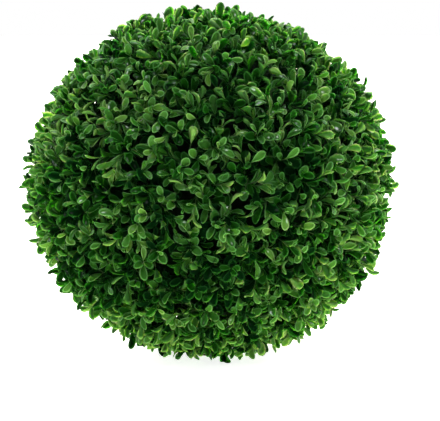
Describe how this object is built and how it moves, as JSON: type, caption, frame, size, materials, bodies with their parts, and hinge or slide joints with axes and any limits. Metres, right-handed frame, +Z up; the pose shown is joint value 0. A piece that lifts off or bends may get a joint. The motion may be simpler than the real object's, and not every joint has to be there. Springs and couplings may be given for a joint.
{
  "type": "artificial box topiary ball",
  "caption": "Clipped ball of moulded box leaves on sprigs plugged round a hollow plastic core, with a short hidden stem.",
  "frame": {"origin": "middle of the flat cut under the stem, at ground level", "axes": "+Z up along the stem and through the middle of the ball, +X to the right and -Y towards the viewer of the front"},
  "size_m": [0.3813, 0.3798, 0.3623],
  "materials": {
    "foliage": "semi-gloss moulded leaves in several greens",
    "core_plastic": "very dark green moulded plastic",
    "stem_bark": "brown, moulded with bark relief"
  },
  "bodies": {
    "root": {"foliage_top": "foliage", "foliage_upper_1": "foliage", "foliage_upper_2": "foliage", "foliage_upper_3": "foliage", "foliage_upper_4": "foliage", "foliage_upper_5": "foliage", "foliage_upper_6": "foliage", "foliage_lower_1": "foliage", "foliage_lower_2": "foliage", "foliage_lower_3": "foliage", "foliage_lower_4": "foliage", "foliage_lower_5": "foliage", "foliage_lower_6": "foliage", "foliage_bottom": "foliage", "core_upper": "core_plastic", "core_lower": "core_plastic", "stem": "stem_bark"}
  },
  "joints": []
}
